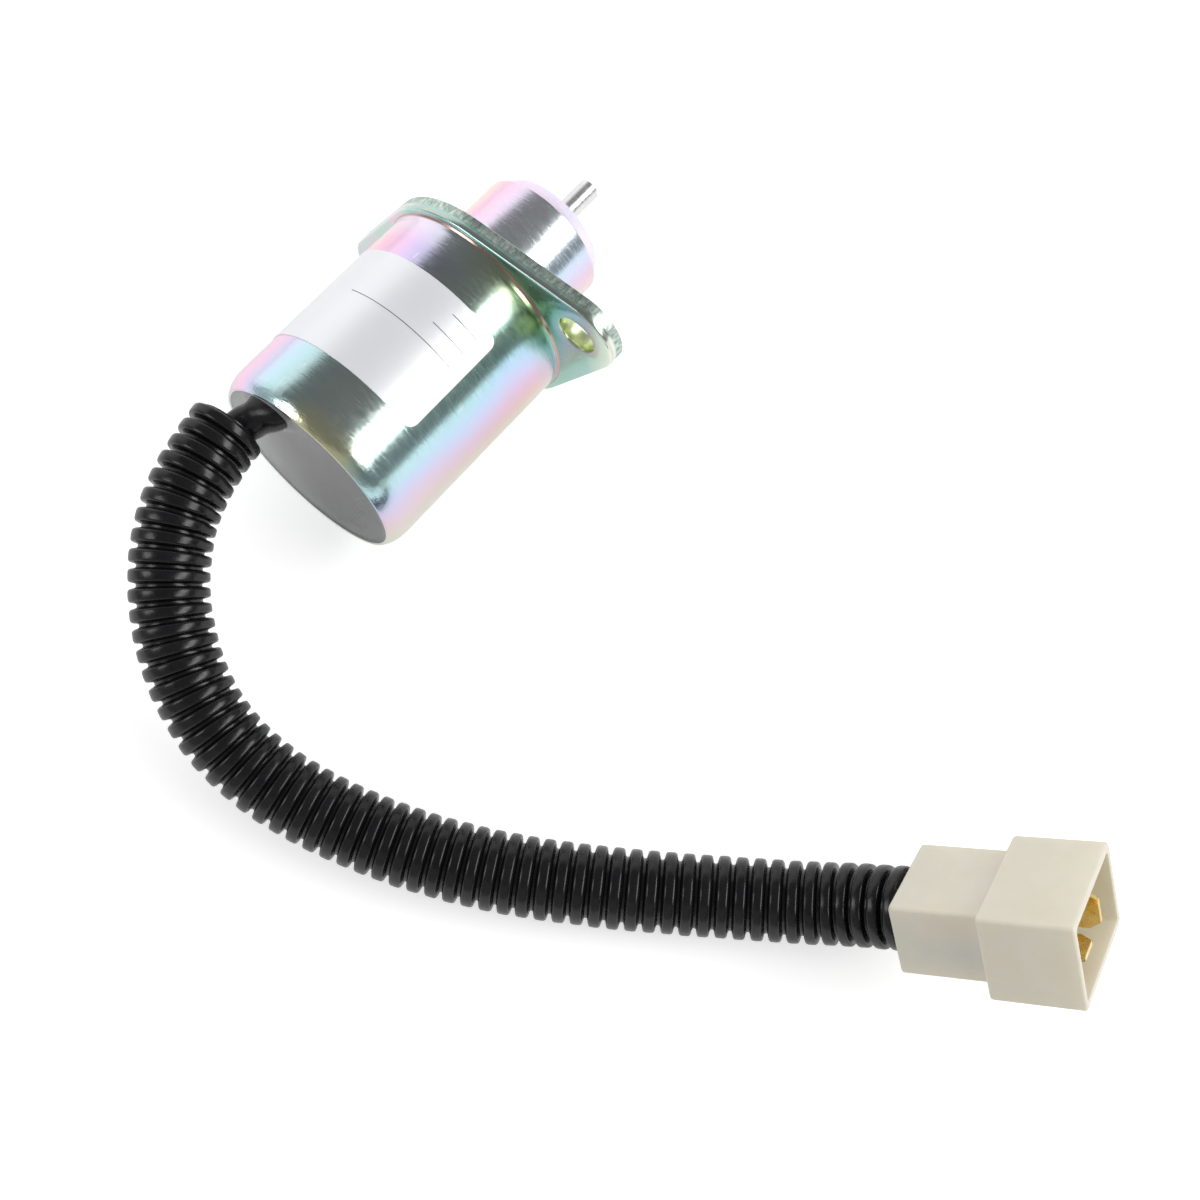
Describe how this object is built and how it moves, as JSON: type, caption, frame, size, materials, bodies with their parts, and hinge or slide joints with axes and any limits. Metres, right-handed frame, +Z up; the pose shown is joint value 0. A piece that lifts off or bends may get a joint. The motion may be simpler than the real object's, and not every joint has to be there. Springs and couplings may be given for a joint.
{
  "type": "fuel shutoff solenoid",
  "caption": "Pull-type fuel shutoff solenoid with an oval bolt flange, push pin, and leads in corrugated conduit to a tab connector.",
  "frame": {"origin": "centre of the flange's front (mounting) face, on the solenoid's axis", "axes": "+X along the push pin, outwards; +Z up from the table it lies on; +Y completes the frame"},
  "size_m": [0.122, 0.1781, 0.0406],
  "materials": {
    "plated_steel": "zinc plated, iridescent",
    "bright_steel": "bright ground steel",
    "plain_steel": "machined",
    "spring_steel": "drawn wire",
    "brass": "bare",
    "copper_winding": "enamelled copper wire",
    "label_film": "satin film",
    "grey_resin": "satin",
    "black_sleeve": "soft",
    "black_conduit": "semi-gloss",
    "pale_nylon": "moulded",
    "brown_nylon": "moulded",
    "tape": "film",
    "fibre": "fibre board",
    "damper_rubber": "moulded",
    "lead_red": "wire cover",
    "lead_black": "wire cover"
  },
  "bodies": {
    "case": {"case_can": "plated_steel", "flange_plate": "plated_steel", "nose_piece": "plated_steel", "blank_label": "label_film", "potting": "grey_resin", "insulating_disc": "fibre", "rear_flux_washer": "plain_steel", "rear_core": "plain_steel", "guide_tube": "brass", "coil_bobbin": "brown_nylon", "holding_winding": "copper_winding", "pull_winding": "copper_winding", "winding_tape": "tape", "return_spring": "spring_steel", "pin_bush": "brass", "damper_washer": "damper_rubber", "lead_sleeve": "black_sleeve", "lead_upper": "lead_red", "lead_lower": "lead_black", "conduit": "black_conduit", "connector_housing": "pale_nylon", "tab_cross": "brass", "tab_stem": "brass"},
    "plunger": {"plunger": "plain_steel", "push_pin": "bright_steel"}
  },
  "joints": [
    {"name": "plunger_slide", "type": "slide", "parent": "case", "child": "plunger", "axis": [-1, 0, 0], "range_m": [0, 0.01], "stiffness_N_per_m": 1200, "springref_m": -0.008, "deforming": ["return_spring"]}
  ]
}
